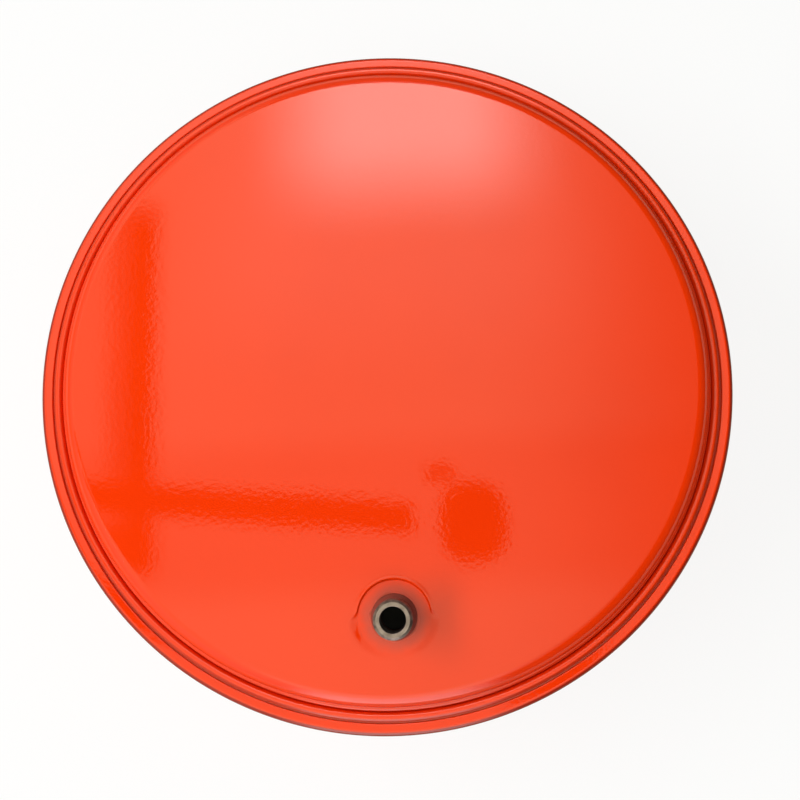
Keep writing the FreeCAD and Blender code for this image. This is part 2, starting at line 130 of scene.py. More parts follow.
# gas valve
VALVE_TIP, VALVE_TOP = span("valve_stem", 2)
STEM_RADIUS = 4.0
STEM_FLANGE_RADIUS = 7.5
STEM_MOUTH_RADIUS = 2.65
STEM_THROAT_RADIUS = 1.9
CAP_THREAD_RADIUS = 3.85
CAP_THREAD_PITCH = 0.794
CAP_THREAD_DEPTH = 0.4
CAP_LOW, CAP_HIGH = span("valve_cap", 2)
NUT_LOW, NUT_HIGH = span("valve_nut", 2)
NUT_WIDTH = 13.0
SPRING_WIRE = 0.3
SPRING_TURNS = 4


def section(corners, closed=True, default=0.1):
    """Points (r, z) and outward normals along an outline with rounded corners.

    The outline is followed with the material on its left. Each corner is (r, z) or (r, z, round).
    """
    found = []
    for index, corner in enumerate(corners):
        here = np.array(corner[:2], float)
        come = here - np.array(corners[index - 1][:2], float)
        leave = np.array(corners[(index + 1) % len(corners)][:2], float) - here
        if not closed and index == 0:
            come = leave
        if not closed and index == len(corners) - 1:
            leave = come
        come, leave = come / np.linalg.norm(come), leave / np.linalg.norm(leave)
        out = np.array((come[1], -come[0]))
        turn = math.atan2(come[0] * leave[1] - come[1] * leave[0], come @ leave)
        if abs(turn) < 1e-6:
            found.append((*here, *out))
            continue
        rounding = corner[2] if len(corner) > 2 else default
        bulge = math.copysign(rounding, turn)
        centre = here - come * rounding * math.tan(abs(turn) / 2) - out * bulge
        steps = max(3, round(abs(turn) / ARC_STEP))
        for step in range(steps + 1):
            c, s = math.cos(turn * step / steps), math.sin(turn * step / steps)
            normal = np.array((c * out[0] - s * out[1], s * out[0] + c * out[1]))
            found.append((*(centre + normal * bulge), *normal))
    return found


def rings_of(points, columns=COLUMNS, centre_y=0.0):
    """One ring of positions and one of normals for each point of a section."""
    turn = np.arange(columns) * FULL_TURN / columns
    rows = np.array(points)
    across, up = np.cos(turn), np.sin(turn)
    places = np.stack([
        np.outer(rows[:, 0], across),
        np.outer(rows[:, 0], up) + centre_y,
        np.outer(rows[:, 1], np.ones(columns)),
    ], axis=2)
    normals = np.stack([
        np.outer(rows[:, 2], across),
        np.outer(rows[:, 2], up),
        np.outer(rows[:, 3], np.ones(columns)),
    ], axis=2)
    return places, normals


def mesh_piece(name, places, faces, normals=None, sharp_degrees=None):
    """A new object from points in millimetres, shaded smooth."""
    mesh = bpy.data.meshes.new(name)
    mesh.from_pydata((places * MM).tolist(), [], faces)
    mesh.polygons.foreach_set("use_smooth", [True] * len(mesh.polygons))
    if sharp_degrees is not None:
        mesh.set_sharp_from_angle(angle=math.radians(sharp_degrees))
    if normals is not None:
        lengths = np.linalg.norm(normals, axis=1, keepdims=True)
        mesh.normals_split_custom_set_from_vertices((normals / lengths).tolist())
    mesh.update()
    piece = bpy.data.objects.new(name, mesh)
    bpy.context.scene.collection.objects.link(piece)
    return piece


def ring_grid(name, places, normals=None, sharp_degrees=None):
    """A closed tube of rings, joined both ways. The rings are (rows, columns, 3) arrays."""
    rows, columns = places.shape[:2]
    number = np.arange(rows * columns).reshape(rows, columns)
    above = np.roll(number, -1, axis=0)
    faces = np.stack([
        number, np.roll(number, -1, axis=1), np.roll(above, -1, axis=1), above,
    ], axis=2).reshape(-1, 4)
    flat = None if normals is None else normals.reshape(-1, 3)
    return mesh_piece(name, places.reshape(-1, 3), faces.tolist(), flat, sharp_degrees)


def capped_grid(name, places, low_end, high_end, sharp_degrees):
    """Rings closed by a point at each end, for a solid that reaches the axis."""
    rows, columns = places.shape[:2]
    number = np.arange(rows * columns).reshape(rows, columns)
    beside = np.roll(number, -1, axis=1)
    sides = np.stack([number[:-1], beside[:-1], beside[1:], number[1:]], axis=2)
    faces = sides.reshape(-1, 4).tolist()
    first, last = rows * columns, rows * columns + 1
    faces += [(first, int(b), int(a)) for a, b in zip(number[0], beside[0])]
    faces += [(last, int(a), int(b)) for a, b in zip(number[-1], beside[-1])]
    points = np.vstack([places.reshape(-1, 3), [low_end], [high_end]])
    return mesh_piece(name, points, faces, sharp_degrees=sharp_degrees)


def finished(piece, material, body, slot, *nodes):
    """Give a new piece its material and body, and let it stand for CAD nodes. The slot is not used.
    """
    piece.data.materials.append(material)
    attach(piece, body)
    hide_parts(*nodes)
    return piece


def opaque(value):
    """An (r, g, b) with its alpha, and anything else as it is."""
    return (*value, 1) if isinstance(value, tuple) else value


class Nodes:
    """A node tree with short ways to add and join its nodes."""

    def __init__(self, tree):
        self.tree = tree
        tree.nodes.clear()

    def add(self, kind, inputs=(), **settings):
        """A new node with its inputs fed by name or number."""
        node = self.tree.nodes.new(kind)
        for key, value in settings.items():
            setattr(node, key, value)
        for socket, value in dict(inputs).items():
            self.feed(node.inputs[socket], value)
        return node

    def feed(self, socket, value):
        """Link a socket to another one, or set it to a number or a colour."""
        if isinstance(value, bpy.types.NodeSocket):
            self.tree.links.new(value, socket)
        else:
            socket.default_value = value

    def math(self, operation, *values):
        """Output of a maths node, whose values are sockets or numbers."""
        node = self.add("ShaderNodeMath", operation=operation)
        for index, value in enumerate(values):
            self.feed(node.inputs[index], value)
        return node.outputs[0]

    def place(self):
        """Coordinates on the object, in metres."""
        return self.add("ShaderNodeTexCoord").outputs["Object"]

    def noise(self, scale, detail, roughness=0.5):
        """Noise with features about 1/scale metres across."""
        inputs = {"Vector": self.place(), "Scale": scale, "Detail": detail, "Roughness": roughness}
        return self.add("ShaderNodeTexNoise", inputs).outputs["Fac"]

    def ramp(self, factor, low, high):
        """0 below low, 1 above high, and smooth between them."""
        inputs = {"Value": factor, "From Min": low, "From Max": high}
        node = self.add("ShaderNodeMapRange", inputs, interpolation_type="SMOOTHSTEP")
        return node.outputs["Result"]

    def ramp_mm(self, length, low, high):
        """The same for a length in metres, between limits in millimetres."""
        return self.ramp(length, low * MM, high * MM)

    def less(self, factor):
        """What a factor leaves of 1."""
        return self.math("SUBTRACT", 1.0, factor)

    def mix(self, factor, first, second):
        """Blend of two colours, each a socket or (r, g, b)."""
        node = self.add("ShaderNodeMix", data_type="RGBA")
        for index, value in ((0, factor), (6, first), (7, second)):
            self.feed(node.inputs[index], opaque(value))
        return node.outputs[2]

    def blend(self, factor, first, second):
        """Blend of two numbers."""
        inputs = {"Value": factor, "To Min": first, "To Max": second}
        return self.add("ShaderNodeMapRange", inputs).outputs["Result"]

    def bump(self, height, distance, under=None):
        """Normal of a height, on top of another normal where one is given."""
        inputs = {"Height": height, "Distance": distance, "Strength": 1.0}
        if under is not None:
            inputs["Normal"] = under
        return self.add("ShaderNodeBump", inputs).outputs["Normal"]


def new_material(name):
    """A material with an empty tree, its Principled shader and its output."""
    material = bpy.data.materials.new(name)
    material.use_nodes = True
    nodes = Nodes(material.node_tree)
    shader = nodes.add("ShaderNodeBsdfPrincipled")
    nodes.add("ShaderNodeOutputMaterial", {"Surface": shader.outputs["BSDF"]})
    return material, nodes, shader


def join(nodes, shader, **sockets):
    """Set or link the shader's sockets. Names use _ for a space."""
    for name, value in sockets.items():
        nodes.feed(shader.inputs[name.replace("_", " ")], opaque(value))


ENAMEL_LIGHT = (0.95, 0.0415, 0.0015)
ENAMEL_DEEP = (0.91, 0.0375, 0.0012)
# painted reflection and painted shade round the connection, and the distances from its axis, in
# millimetres, over which they fade
PAINTED_REFLECTION_HAZE = (0.66, 0.062, 0.028)
PAINTED_REFLECTION_HAZE_FADE = (12.5, 18.5)
PAINTED_SHADE_ROUND_FOOT = (0.30, 0.026, 0.008)
PAINTED_SHADE_ROUND_FOOT_FADE = (10.6, 13.2)
# painted shade on the rim: its colour on the fold's outer edge, and shares of black beside the face
# and the lip
PAINTED_FOLD_SHADE = (0.32, 0.016, 0.005)
BLACK = (0.0, 0.0, 0.0)
CHANNEL_SHADE = 0.15
GROOVE_SHADE = 0.42
# the connection
STEEL = ((0.32, 0.25, 0.235), (0.19, 0.145, 0.135))
# steel of the thread, darker than on the end face
DARKER_THREAD_STEEL = ((0.26, 0.205, 0.18), (0.12, 0.09, 0.08))
# enamel at the connection's foot, darkened by painted shade
FOOT_ENAMEL_PAINTED_SHADE = ((0.15, 0.015, 0.006), (0.29, 0.02, 0.005))
# painted shade inside the bore
BORE_PAINTED_SHADE = (0.004, 0.0035, 0.0035)


def enamel_normal(nodes):
    """Fine orange peel over a slightly wavy sheet."""
    waves = nodes.bump(nodes.noise(22.0, 1.0), 0.00006)
    return nodes.bump(nodes.noise(500.0, 2.0), 0.000024, waves)


def enamel_parts(nodes):
    """Colour, roughness and normal of the baked enamel."""
    colour = nodes.mix(nodes.ramp(nodes.noise(9.0, 4.0), 0.35, 0.75), ENAMEL_LIGHT, ENAMEL_DEEP)
    roughness = nodes.blend(nodes.noise(60.0, 3.0), 0.02, 0.04)
    return colour, roughness, enamel_normal(nodes)


def reach_from(nodes, axis_y):
    """Distance from an upright axis through X 0, in metres."""
    split = nodes.add("ShaderNodeSeparateXYZ", {0: nodes.place()})
    off_y = nodes.math("SUBTRACT", split.outputs["Y"], axis_y)
    squares = nodes.math("MULTIPLY", split.outputs["X"], split.outputs["X"])
    return nodes.math("SQRT", nodes.math("MULTIPLY_ADD", off_y, off_y, squares))


def reach_from_nipple(nodes):
    """Distance from the axis of the water connection, in metres."""
    return reach_from(nodes, NIPPLE_Y * MM)


def rear_enamel_material():
    """Plain enamel, for the rear shell."""
    material, nodes, shader = new_material("red_enamel")
    colour, roughness, normal = enamel_parts(nodes)
    join(nodes, shader, Base_Color=colour, Roughness=roughness, Normal=normal)
    return material


def front_enamel_material():
    """Enamel of the front shell, rougher round the connection with a painted reflection and painted
    shade there, and painted shade in the rim's channels.
    """
    material, nodes, shader = new_material("red_enamel_front")
    colour, roughness, normal = enamel_parts(nodes)
    # painted reflection of the connection in the enamel round it, rougher enamel there, and a ring
    # of painted shade at its foot
    reach = nodes.math("MULTIPLY_ADD", nodes.noise(170.0, 3.0), 0.004, reach_from_nipple(nodes))
    painted_foot_shade = nodes.less(nodes.ramp_mm(reach, *PAINTED_SHADE_ROUND_FOOT_FADE))
    painted_haze_and_roughness = nodes.less(nodes.ramp_mm(reach, *PAINTED_REFLECTION_HAZE_FADE))
    colour = nodes.mix(painted_haze_and_roughness, colour, PAINTED_REFLECTION_HAZE)
    colour = nodes.mix(painted_foot_shade, colour, PAINTED_SHADE_ROUND_FOOT)
    roughness = nodes.math("MULTIPLY_ADD", painted_haze_and_roughness, 0.25, roughness)
    # painted shade in the rim's channel beside the face, and in the groove between the lip and the
    # ridge
    radius = reach_from(nodes, 0.0)
    ridge = (RIDGE_INNER + RIDGE_OUTER) / 2
    channel = nodes.ramp_mm(radius, WALL_RADIUS - 0.4, WALL_RADIUS + 0.8)
    crest = nodes.ramp_mm(radius, ridge - 1.2, ridge - 0.2)
    groove = nodes.ramp_mm(radius, ridge + 0.2, ridge + 1.3)
    shade = nodes.math("MULTIPLY", nodes.math("SUBTRACT", channel, crest), CHANNEL_SHADE)
    shade = nodes.math("MULTIPLY_ADD", groove, GROOVE_SHADE, shade)
    colour = nodes.mix(shade, colour, BLACK)
    join(nodes, shader, Base_Color=colour, Roughness=roughness, Normal=normal)
    return material


def folded_edge_material():
    """Enamel of the clench ring, with painted shade on the fold's outer edge."""
    material, nodes, shader = new_material("red_enamel_fold")
    colour, roughness, normal = enamel_parts(nodes)
    # painted shade on the fold's outer edge
    outer = nodes.ramp_mm(reach_from(nodes, 0.0), RIM_RADIUS - 2.4, RIM_RADIUS - 1.2)
    colour = nodes.mix(outer, colour, PAINTED_FOLD_SHADE)
    join(nodes, shader, Base_Color=colour, Roughness=roughness, Normal=normal)
    return material


def metal_material(name, light, dark, rough):
    """Plated or turned metal with blotches, fine grain and uneven gloss."""
    material, nodes, shader = new_material(name)
    patches = nodes.ramp(nodes.noise(180.0, 5.0, 0.6), 0.35, 0.7)
    colour = nodes.mix(patches, light, dark)
    roughness = nodes.blend(nodes.noise(400.0, 3.0), rough - 0.07, rough + 0.1)
    normal = nodes.bump(nodes.noise(900.0, 3.0), 0.00001)
    join(nodes, shader, Base_Color=colour, Metallic=1.0, Roughness=roughness, Normal=normal)
    return material


def moulded_material(name, light, dark, rough):
    """Rubber or plastic with a fine grain."""
    material, nodes, shader = new_material(name)
    colour = nodes.mix(nodes.noise(240.0, 4.0), light, dark)
    roughness = nodes.blend(nodes.noise(500.0, 3.0), rough - 0.06, rough + 0.06)
    normal = nodes.bump(nodes.noise(1200.0, 2.0), 0.00002)
    join(nodes, shader, Base_Color=colour, Roughness=roughness, Normal=normal)
    return material


def nipple_material():
    """Bare plated steel, darker on the thread, with painted shade in the bore, and enamel at its
    foot darkened by painted shade.
    """
    material, nodes, shader = new_material("nipple_steel")
    height = nodes.add("ShaderNodeSeparateXYZ", {0: nodes.place()}).outputs["Z"]
    reach = reach_from_nipple(nodes)
    ragged = nodes.math("MULTIPLY_ADD", nodes.noise(500.0, 3.0), 0.0016, -0.0008)
    bare = nodes.ramp_mm(nodes.math("ADD", height, ragged), PAINT_EDGE - 0.5, PAINT_EDGE + 0.5)
    outside = nodes.ramp_mm(reach, BORE_RADIUS - 0.08, BORE_RADIUS + 0.05)
    thread = nodes.ramp_mm(reach, TIP_RADIUS - 0.15, TIP_RADIUS + 0.1)
    # lighter steel on the end face, darker steel on the thread
    end_steel = nodes.mix(nodes.ramp(nodes.noise(300.0, 5.0), 0.35, 0.7), *STEEL)
    thread_steel = nodes.mix(nodes.ramp(nodes.noise(420.0, 4.0), 0.4, 0.7), *DARKER_THREAD_STEEL)
    steel = nodes.mix(thread, end_steel, thread_steel)
    # enamel at the foot, darkened by painted shade
    foot = nodes.mix(nodes.noise(350.0, 3.0), *FOOT_ENAMEL_PAINTED_SHADE)
    # painted shade inside the bore
    colour = nodes.mix(outside, BORE_PAINTED_SHADE, nodes.mix(bare, foot, steel))
    metallic = nodes.math("MULTIPLY", nodes.math("MULTIPLY", bare, outside), 0.8)
    roughness = nodes.blend(bare, 0.5, 0.42)
    join(nodes, shader, Base_Color=colour, Metallic=metallic, Roughness=roughness,
         Normal=enamel_normal(nodes))
    return material


def face_rings():
    """Rings of (x, y) from the shoulder to the connection's hole."""
    centre_r = WALL_RADIUS - SHOULDER_ROUND
    outer_r = centre_r * CROWN_RADIUS / (CROWN_RADIUS - SHOULDER_ROUND)
    edge_low, edge_high = SEAT_RADIUS - 0.2, SEAT_RADIUS + 4.0
    seat_rim = SEAT_RADIUS + SEAT_RUNOUT + 1.0
    widths = np.concatenate([
        np.linspace(HOLE_RADIUS, edge_low, SEAT_RINGS, endpoint=False),
        np.linspace(edge_low, edge_high, EDGE_RINGS, endpoint=False),
        np.linspace(edge_high, seat_rim, BESIDE_RINGS),
    ])
    shares = 0.5 - 0.5 * np.cos(np.linspace(0, math.pi, CROWN_RINGS + 1)[1:])
    turn = np.arange(COLUMNS) * FULL_TURN / COLUMNS
    rings = [(NIPPLE_Y, width) for width in widths]
    rings += [(NIPPLE_Y * (1 - share), seat_rim + (outer_r - seat_rim) * share) for share in shares]
    rings.reverse()
    return np.array([[(r * math.cos(a), y + r * math.sin(a)) for a in turn] for y, r in rings])


def eased(share):
    """A share between 0 and 1 with a smooth start and end."""
    share = np.clip(share, 0, 1)
    return share * share * (3 - 2 * share)


def face_height(xy, sheet):
    """Height of the crowned face with its pressed seat, or of the surface one sheet below it."""
    radius = CROWN_RADIUS - sheet
    crown = CROWN_CENTRE + np.sqrt(radius ** 2 - (xy ** 2).sum(-1))
    off_y = xy[..., 1] - NIPPLE_Y
    reach = np.hypot(xy[..., 0], off_y)
    side = off_y / reach
    past = reach - SEAT_RADIUS - sheet
    edge = SEAT_EDGE + (SEAT_RUNOUT - SEAT_EDGE) * eased((SIDE_LIMIT - side) / RUNOUT_BLEND)
    bead = np.clip((side - SIDE_LIMIT) / BEAD_BLEND, 0, 1) * SEAT_BEAD
    bead = bead * np.exp(-(((past - SEAT_EDGE - BEAD_OFFSET) / BEAD_WIDTH) ** 2))
    return SEAT_LEVEL - sheet + (crown - SEAT_LEVEL + sheet) * eased(past / edge) + bead


def face_surface(sheet):
    """Positions and normals of the face, or of its underside."""
    xy = face_rings()
    height = face_height(xy, sheet)
    slopes = [
        (face_height(xy + step, sheet) - face_height(xy - step, sheet)) / (2 * SLOPE_STEP)
        for step in ((SLOPE_STEP, 0), (0, SLOPE_STEP))
    ]
    places = np.concatenate([xy, height[..., None]], axis=2)
    normals = np.stack([-slopes[0], -slopes[1], np.ones_like(height)], axis=2)
    return places, normals


def shoulder(sheet):
    """Arc from the wall up to the crowned face, as points and normals of a section."""
    radius = SHOULDER_ROUND - sheet
    centre_r = WALL_RADIUS - SHOULDER_ROUND
    centre_z = CROWN_CENTRE + math.sqrt((CROWN_RADIUS - SHOULDER_ROUND) ** 2 - centre_r ** 2)
    last = math.atan2(centre_z - CROWN_CENTRE, centre_r)
    return [
        (centre_r + radius * math.cos(a), centre_z + radius * math.sin(a), math.cos(a), math.sin(a))
        for a in np.linspace(0, last, SHOULDER_STEPS, endpoint=False)
    ]


def make_front_shell(material):
    """Pressed half shell: stepped rim, ridge over the membrane's bead, crowned face and seat."""
    bead_outer, bead_inner = RIDGE_OUTER - SHEET, RIDGE_INNER + SHEET
    inner_step, inner_wall = STEP_RADIUS - SHEET, WALL_RADIUS - SHEET
    rim = section([
        (FLANGE_RADIUS - 1, SEAM), (FLANGE_RADIUS, SEAM), (FLANGE_RADIUS, SEAM + SHEET),
        (RIDGE_OUTER, SEAM + SHEET, 0.2), (RIDGE_OUTER, RIDGE_TOP, 2.0),
        (RIDGE_INNER, RIDGE_TOP, 2.0), (RIDGE_INNER, VALLEY, 0.3), (STEP_RADIUS, VALLEY, 0.3),
        (STEP_RADIUS, STEP_TOP, 1.2), (WALL_RADIUS, STEP_TOP, 0.4), (WALL_RADIUS, STEP_TOP + 0.5),
    ], closed=False)
    under = section([
        (inner_wall, STEP_TOP), (inner_wall, STEP_TOP - SHEET), (inner_step, STEP_TOP - SHEET),
        (inner_step, VALLEY - SHEET, 1.3), (bead_inner, VALLEY - SHEET, 1.3),
        (bead_inner, RIDGE_TOP - SHEET, 1.0), (bead_outer, RIDGE_TOP - SHEET, 1.0),
        (bead_outer, SEAM), (bead_outer + 1, SEAM),
    ], closed=False)
    face, face_normals = face_surface(0)
    back, back_normals = face_surface(SHEET)
    rim_rings, rim_normals = rings_of(rim + shoulder(0))
    under_rings, under_normals = rings_of([
        (r, z, -out_r, -out_z) for r, z, out_r, out_z in reversed(shoulder(SHEET))
    ] + under)
    places = np.concatenate([rim_rings, face, back[::-1], under_rings])
    normals = np.concatenate([rim_normals, face_normals, -back_normals[::-1], under_normals])
    piece = ring_grid("front_shell_skin", places, normals)
    return finished(piece, material, "vessel", "red_paint", "front_shell")


def make_clench_ring(material):
    """Ring folded round both flanges."""
    inside = RIM_RADIUS - RING_SHEET
    upper, lower = SEAM + SHEET, SEAM - SHEET
    fold = (RING_TOP - RING_BOTTOM) / 2 - 0.01
    piece = ring_grid("clench_ring_skin", *rings_of(section([
        (LIP_EDGE, upper), (inside, upper), (inside, lower), (LIP_EDGE, lower),
        (LIP_EDGE, RING_BOTTOM, LIP_ROUND), (RIM_RADIUS, RING_BOTTOM, fold),
        (RIM_RADIUS, RING_TOP, fold), (LIP_EDGE, RING_TOP - LIP_LEAN, LIP_ROUND),
    ])))
    return finished(piece, material, "vessel", "red_paint", "clench_ring")


def make_rear_shell(material):
    """Deep drawn half shell with the recess for the gas valve in its flat back."""
    inner_wall = REAR_RADIUS - SHEET
    recess_top = RECESS_RADIUS - RECESS_DRAFT
    hole = STEM_RADIUS + 0.1
    piece = ring_grid("rear_shell_skin", *rings_of(section([
        (hole, RECESS_DEPTH), (recess_top, RECESS_DEPTH, RECESS_ROUND),
        (RECESS_RADIUS, 0, RECESS_ROUND + SHEET), (REAR_RADIUS, 0, REAR_ROUND),
        (REAR_RADIUS, LEDGE - SHEET, 1.5), (RISER, LEDGE - SHEET, 0.6), (RISER, SEAM - SHEET, 0.2),
        (FLANGE_RADIUS, SEAM - SHEET), (FLANGE_RADIUS, SEAM), (RISER - SHEET, SEAM),
        (RISER - SHEET, LEDGE), (inner_wall, LEDGE, 2.5), (inner_wall, SHEET, REAR_ROUND - SHEET),
        (RECESS_RADIUS + SHEET, SHEET, RECESS_ROUND),
        (recess_top + SHEET, RECESS_DEPTH + SHEET, RECESS_ROUND + SHEET),
        (hole, RECESS_DEPTH + SHEET),
    ])))
    return finished(piece, material, "vessel", "red_paint", "rear_shell")


def split_rows(points, radius, step):
    """The same section with rows no further apart than a step along its wall of that radius."""
    found = []
    for first, second in zip(points, points[1:] + points[:1]):
        found.append(first)
        on_wall = abs(first[0] - radius) < 1e-6 and abs(second[0] - radius) < 1e-6
        pieces = math.ceil(abs(second[1] - first[1]) / step) if on_wall else 1
        for piece in range(1, pieces):
            share = piece / pieces
            found.append((radius, first[1] + (second[1] - first[1]) * share, first[2], first[3]))
    return found


def cut_thread(places, radius, low, high, pitch, depth, centre_y=0.0):
    """Cut a right-hand thread into the rows on the wall of that radius, in place."""
    across, up = places[..., 0], places[..., 1] - centre_y
    reach, height = np.hypot(across, up), places[..., 2]
    angle = np.arctan2(up, across) / FULL_TURN
    groove = 0.5 - 0.5 * np.cos(FULL_TURN * (height / pitch - angle))
    inside = np.clip(np.minimum(height - low, high - height) / pitch, 0, 1)
    cut = np.where(np.abs(reach - radius) < 1e-4, depth * groove * inside, 0.0)
    places[..., 0] *= 1 - cut / reach
    places[..., 1] = centre_y + up * (1 - cut / reach)


def make_nipple(material):
    """Turned connection with its thread, run-out groove, collar and inner flange."""
    relief_top, thread_high = SEAT_LEVEL + 4.4, NIPPLE_TOP - 1.0
    thread_low = relief_top + 0.5
    points = section([
        (BORE_RADIUS, NIPPLE_BOTTOM), (NIPPLE_FLANGE_RADIUS, NIPPLE_BOTTOM),
        (NIPPLE_FLANGE_RADIUS, SEAT_LEVEL - SHEET), (COLLAR_RADIUS, SEAT_LEVEL - SHEET),
        (COLLAR_RADIUS, SEAT_LEVEL + 0.15, 0.1), (TIP_RADIUS, SEAT_LEVEL + COLLAR_HEIGHT, 0.8),
        (TIP_RADIUS, relief_top, 0.2), (THREAD_RADIUS, thread_low, 0.1),
        (THREAD_RADIUS, thread_high, 0.1), (TIP_RADIUS, NIPPLE_TOP, 0.15),
        (BORE_RADIUS, NIPPLE_TOP, 0.25),
    ])
    places, _ = rings_of(split_rows(points, THREAD_RADIUS, 0.11), SMALL_COLUMNS, NIPPLE_Y)
    cut_thread(
        places, THREAD_RADIUS, thread_low, thread_high, THREAD_PITCH, THREAD_DEPTH, NIPPLE_Y)
    piece = ring_grid("water_nipple_skin", places, sharp_degrees=50)
    return finished(piece, material, "vessel", "zinc", "water_nipple")


def make_stem(material):
    """Brass stem of the gas valve with its cap thread."""
    thread_end = VALVE_TIP + 12.0
    flange_low = RECESS_DEPTH + SHEET + 1.0
    points = section([
        (STEM_MOUTH_RADIUS, VALVE_TIP, 0.2), (CAP_THREAD_RADIUS, VALVE_TIP, 0.4),
        (CAP_THREAD_RADIUS, thread_end), (STEM_RADIUS, thread_end), (STEM_RADIUS, flange_low),
        (STEM_FLANGE_RADIUS, flange_low, 0.3), (STEM_FLANGE_RADIUS, VALVE_TOP, 0.3),
        (STEM_THROAT_RADIUS, VALVE_TOP), (STEM_THROAT_RADIUS, VALVE_TIP + 9.8),
        (STEM_MOUTH_RADIUS, VALVE_TIP + 8.6),
    ])
    places, _ = rings_of(split_rows(points, CAP_THREAD_RADIUS, 0.1), 96)
    cut_thread(
        places, CAP_THREAD_RADIUS, VALVE_TIP + 0.4, thread_end, CAP_THREAD_PITCH, CAP_THREAD_DEPTH)
    piece = ring_grid("valve_stem_skin", places, sharp_degrees=50)
    return finished(piece, material, "vessel", "brass", "valve_stem")


def make_nut(material):
    """Hexagon nut with its corners turned off at both ends."""
    bore, half_flat = STEM_RADIUS + 0.05, NUT_WIDTH / 2
    corner = half_flat / math.cos(math.pi / 6)
    turned_off = 0.55
    rows = [(bore, NUT_LOW), (half_flat - 0.1, NUT_LOW), (corner, NUT_LOW + turned_off),
            (corner, NUT_HIGH - turned_off), (half_flat - 0.1, NUT_HIGH), (bore, NUT_HIGH)]
    places, _ = rings_of([(r, z, 1, 0) for r, z in rows], SMALL_COLUMNS)
    turn = np.arange(SMALL_COLUMNS) * FULL_TURN / SMALL_COLUMNS
    flat = half_flat / np.cos((turn + math.pi / 6) % (math.pi / 3) - math.pi / 6)
    reach = np.hypot(places[..., 0], places[..., 1])
    places[..., :2] *= (np.minimum(reach, flat) / reach)[..., None]
    piece = ring_grid("valve_nut_skin", places, sharp_degrees=25)
    return finished(piece, material, "vessel", "zinc", "valve_nut")


def make_cap(material):
    """Screw cap with sixteen grip flutes and a rounded end."""
    bore, floor = CAP_THREAD_RADIUS + 0.1, CAP_LOW + 1.6
    outside, flutes, flute_radius = bore + 1.25, 16, 0.45
    columns = flutes * 16
    points = section([
        (0.4, CAP_LOW), (outside, CAP_LOW, 0.8), (outside, CAP_HIGH, 0.2), (bore, CAP_HIGH, 0.2),
        (bore, floor), (0.4, floor),
    ], closed=False)
    places, _ = rings_of(split_rows(points, outside, 0.5), columns)
    turn = np.arange(columns) * FULL_TURN / columns
    off = ((turn * flutes / FULL_TURN + 0.5) % 1 - 0.5) * FULL_TURN / flutes * outside
    depth = np.sqrt(np.clip(flute_radius ** 2 - off ** 2, 0, None))
    run_in = np.clip((places[..., 2] - CAP_LOW - 2.4) / 0.6, 0, 1)
    reach = np.hypot(places[..., 0], places[..., 1])
    cut = np.where(reach > bore + 0.3, depth[None, :] * run_in, 0.0)
    places[..., :2] *= (1 - cut / reach)[..., None]
    piece = capped_grid("valve_cap_skin", places, (0, 0, CAP_LOW), (0, 0, floor), 40)
    return finished(piece, material, "cap", "black_plastic", "valve_cap")


def make_spring(material):
    """Coil of the valve core, which shortens when the pin is pressed."""
    low, high = span("core_spring", 2)
    wire = SPRING_WIRE / 2 - 0.01
    radius = span("core_spring", 0)[1] - SPRING_WIRE / 2
    start, rise = low + SPRING_WIRE / 2, (high - low - SPRING_WIRE) / (SPRING_TURNS * FULL_TURN)
    turn = np.linspace(0, SPRING_TURNS * FULL_TURN, SPRING_TURNS * 32 + 1)[:, None]
    across, up, level = np.cos(turn), np.sin(turn), np.zeros_like(turn)
    middle = np.hstack([radius * across, radius * up, start + rise * turn])
    out = np.hstack([across, up, level])
    along = np.hstack([-radius * up, radius * across, level + rise])
    side = np.cross(along / np.linalg.norm(along, axis=1, keepdims=True), out)
    around = np.arange(12) * FULL_TURN / 12
    places = np.stack([
        middle + wire * (math.cos(a) * out + math.sin(a) * side) for a in around
    ], axis=1)
    piece = capped_grid("spring_coil", places, middle[0], middle[-1], 50)
    finished(piece, material, "vessel", "steel_pin", "core_spring")
    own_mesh(piece)


def dress_hidden_nodes(steel):
    """Materials for the CAD nodes that are shown as they are."""
    rubber = moulded_material("black_rubber", (0.016, 0.016, 0.017), (0.03, 0.03, 0.032), 0.7)
    brass = metal_material("core_brass", (0.62, 0.42, 0.16), (0.5, 0.33, 0.12), 0.3)
    white = moulded_material("white_fluoroplastic", (0.82, 0.82, 0.79), (0.75, 0.75, 0.72), 0.5)
    for node, material in {
        "diaphragm": rubber, "valve_seal": rubber, "core_washer": rubber, "cap_washer": rubber,
        "core_barrel": brass, "core_cup": brass, "core_pin": steel, "core_seal_ring": white,
    }.items():
        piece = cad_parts[node]
        if piece.material_slots:
            piece.material_slots[0].material = material
        else:
            piece.data.materials.append(material)


# The photograph's camera: its axes against the part's, its place in millimetres, its focal length
# in pixels of the photograph's frame, and the width of the sensor in millimetres.
CAMERA_TURNS = (("Z", 2.64), ("X", -10.182), ("Y", -0.87))
CAMERA_PLACE = (13.09, -87.99, 509.48)
CAMERA_FOCAL = 912.5
FRAME_PIXELS = 800
SENSOR = 36.0


def make_camera():
    """The camera that the scene is seen through."""
    turn = Matrix.Identity(3)
    for axis, degrees in CAMERA_TURNS:
        turn = turn @ Matrix.Rotation(math.radians(degrees), 3, axis)
    back = turn.transposed()
    camera = bpy.data.objects.new("camera", bpy.data.cameras.new("camera"))
    camera.data.sensor_width = SENSOR
    camera.data.lens = CAMERA_FOCAL * SENSOR / FRAME_PIXELS
    camera.data.clip_start = 0.01
    camera.matrix_world = Matrix.Translation(Vector(CAMERA_PLACE) * MM) @ back.to_4x4()
    bpy.context.scene.collection.objects.link(camera)
    bpy.context.scene.camera = camera


def is_seen(nodes):
    """1 for camera, glossy and transmission rays."""
    path = nodes.add("ShaderNodeLightPath").outputs
    either = nodes.math("MAXIMUM", path["Is Camera Ray"], path["Is Glossy Ray"])
    return nodes.math("MAXIMUM", either, path["Is Transmission Ray"])


